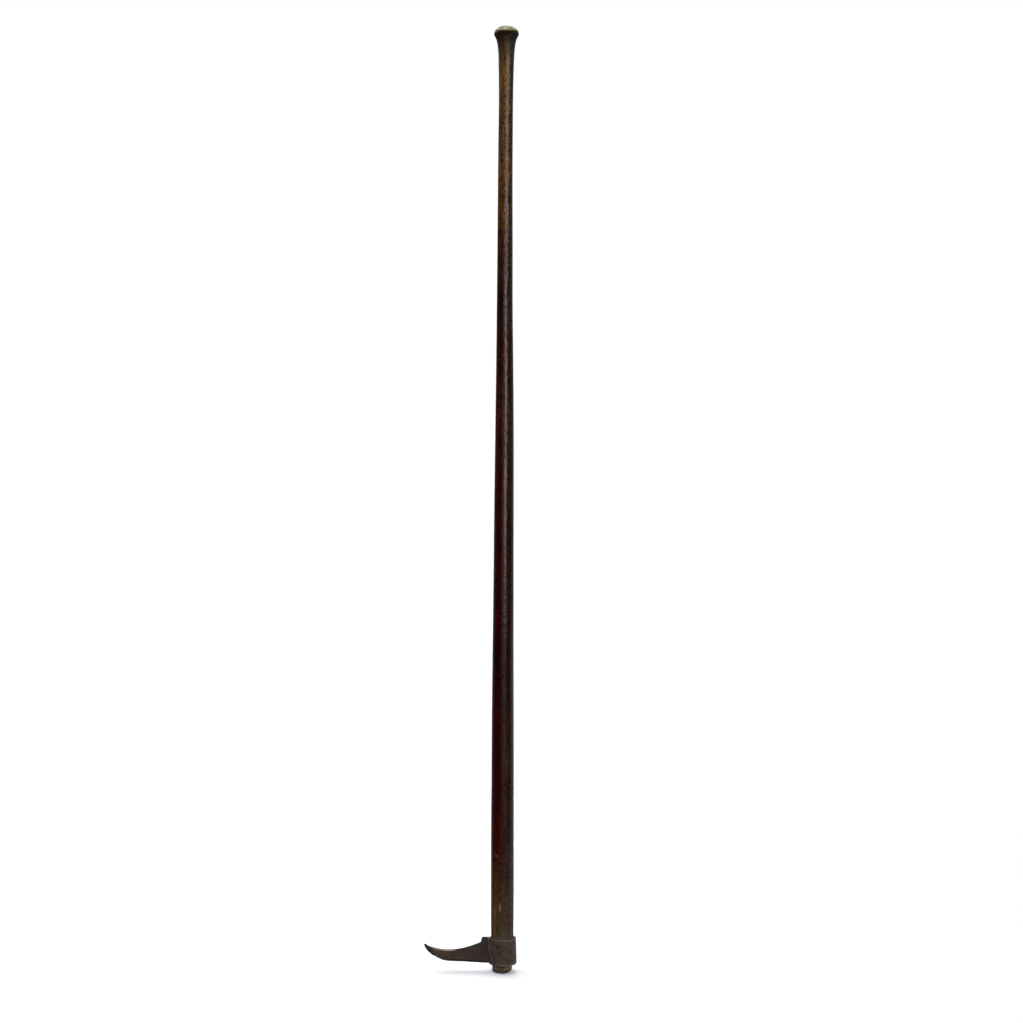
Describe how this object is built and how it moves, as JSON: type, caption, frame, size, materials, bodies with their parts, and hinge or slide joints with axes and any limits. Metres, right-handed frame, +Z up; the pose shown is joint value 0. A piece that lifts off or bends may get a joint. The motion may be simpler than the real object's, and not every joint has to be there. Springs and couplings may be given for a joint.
{
  "type": "boat hook",
  "caption": "Long tapered wooden pole with a flared, capped grip end and a forged iron collar carrying one curved, pointed beak for hooking boats, ropes and logs.",
  "frame": {"origin": "centre of the pole's flat foot, which the tool stands on", "axes": "+Z runs up the pole to the capped butt, the beak points along -X, and the collar nail's head faces -Y"},
  "size_m": [0.1393, 0.0422, 1.4167],
  "materials": {
    "pole_wood": "dark red-brown oiled oak, satin, rubbed golden brown near the grip",
    "wedge_wood": "dry end grain, matt",
    "forged_iron": "hand-forged, dark brown-black scale with worn edges, matt",
    "worn_steel": "forge-welded steel, worn brown with rubbed bright edges",
    "aged_brass": "pale aged brass with dull olive patina"
  },
  "bodies": {
    "root": {"pole": "pole_wood", "hook_head": "forged_iron", "steel_point": "worn_steel", "collar_nail": "forged_iron", "wood_wedge": "wedge_wood", "iron_wedge": "forged_iron", "butt_cap": "aged_brass", "cap_nail": "aged_brass"}
  },
  "joints": []
}
